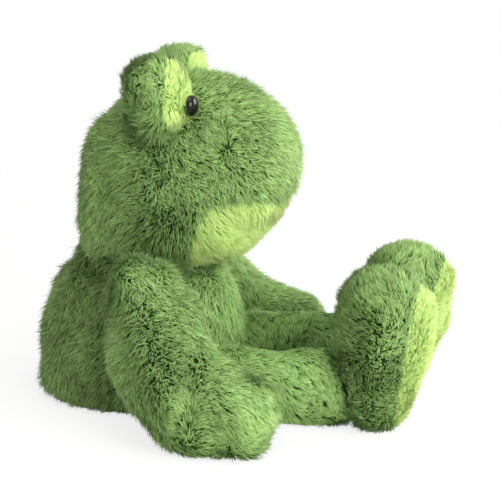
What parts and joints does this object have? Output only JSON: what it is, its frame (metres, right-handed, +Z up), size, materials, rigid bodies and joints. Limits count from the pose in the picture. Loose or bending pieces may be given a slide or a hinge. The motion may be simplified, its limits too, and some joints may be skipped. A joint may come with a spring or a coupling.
{
  "type": "plush frog",
  "caption": "Sitting plush frog with a jointed head, arms, legs and feet, raised eye mounds and padded oval soles.",
  "frame": {"origin": "below the middle of the frog's box, on the floor that it sits on", "axes": "+X the way the frog faces and its legs point, +Y to its left, +Z up"},
  "size_m": [0.3144, 0.291, 0.2616],
  "materials": {
    "green_plush": "long-pile polyester plush",
    "lime_plush": "long-pile polyester plush",
    "fibre_filling": "loose polyester fibre",
    "pellet_pouch": "plain woven cotton filled with pellets",
    "eye_black": "polished",
    "washer_white": "moulded"
  },
  "bodies": {
    "torso": {"torso_back_skin": "green_plush", "torso_belly_skin": "green_plush", "torso_filling": "fibre_filling", "seat_pellet_pouch": "pellet_pouch"},
    "head": {"head_crown_skin": "green_plush", "head_chin_skin": "lime_plush", "head_filling": "fibre_filling", "eye_mound_left_back": "green_plush", "eye_mound_left_front": "lime_plush", "eye_mound_left_filling": "fibre_filling", "eye_left": "eye_black", "eye_washer_left": "washer_white", "eye_mound_right_back": "green_plush", "eye_mound_right_front": "lime_plush", "eye_mound_right_filling": "fibre_filling", "eye_right": "eye_black", "eye_washer_right": "washer_white"},
    "arm_left": {"arm_left_outer_skin": "green_plush", "arm_left_inner_skin": "green_plush", "arm_left_filling": "fibre_filling"},
    "arm_right": {"arm_right_outer_skin": "green_plush", "arm_right_inner_skin": "green_plush", "arm_right_filling": "fibre_filling"},
    "leg_left": {"leg_left_outer_skin": "green_plush", "leg_left_inner_skin": "green_plush", "leg_left_filling": "fibre_filling"},
    "foot_left": {"foot_left_upper_skin": "green_plush", "foot_left_sole_skin": "lime_plush", "foot_left_filling": "fibre_filling"},
    "leg_right": {"leg_right_outer_skin": "green_plush", "leg_right_inner_skin": "green_plush", "leg_right_filling": "fibre_filling"},
    "foot_right": {"foot_right_upper_skin": "green_plush", "foot_right_sole_skin": "lime_plush", "foot_right_filling": "fibre_filling"}
  },
  "joints": [
    {"name": "neck_nod", "type": "hinge", "parent": "torso", "child": "head", "pos_m": [-0.07822, 0, 0.096], "axis": [0, 1, 0], "range_deg": [-8, 8]},
    {"name": "shoulder_left_swing", "type": "hinge", "parent": "torso", "child": "arm_left", "pos_m": [-0.05576, 0.0785, 0.098], "axis": [0, -0.866, -0.5], "range_deg": [-35, 30]},
    {"name": "shoulder_right_swing", "type": "hinge", "parent": "torso", "child": "arm_right", "pos_m": [-0.05576, -0.0785, 0.098], "axis": [0, -0.866, 0.5], "range_deg": [-35, 30]},
    {"name": "hip_left_swing", "type": "hinge", "parent": "torso", "child": "leg_left", "pos_m": [-0.01022, 0.04506, 0.027], "axis": [0, -1, 0], "range_deg": [-70, 8]},
    {"name": "ankle_left_flex", "type": "hinge", "parent": "leg_left", "child": "foot_left", "pos_m": [0.07461, 0.04506, 0.03234], "axis": [0, 1, 0], "range_deg": [-12, 15]},
    {"name": "hip_right_swing", "type": "hinge", "parent": "torso", "child": "leg_right", "pos_m": [-0.01022, -0.04506, 0.027], "axis": [0, -1, 0], "range_deg": [-70, 8]},
    {"name": "ankle_right_flex", "type": "hinge", "parent": "leg_right", "child": "foot_right", "pos_m": [0.07478, -0.04506, 0.027], "axis": [0, 1, 0], "range_deg": [-12, 15]}
  ]
}
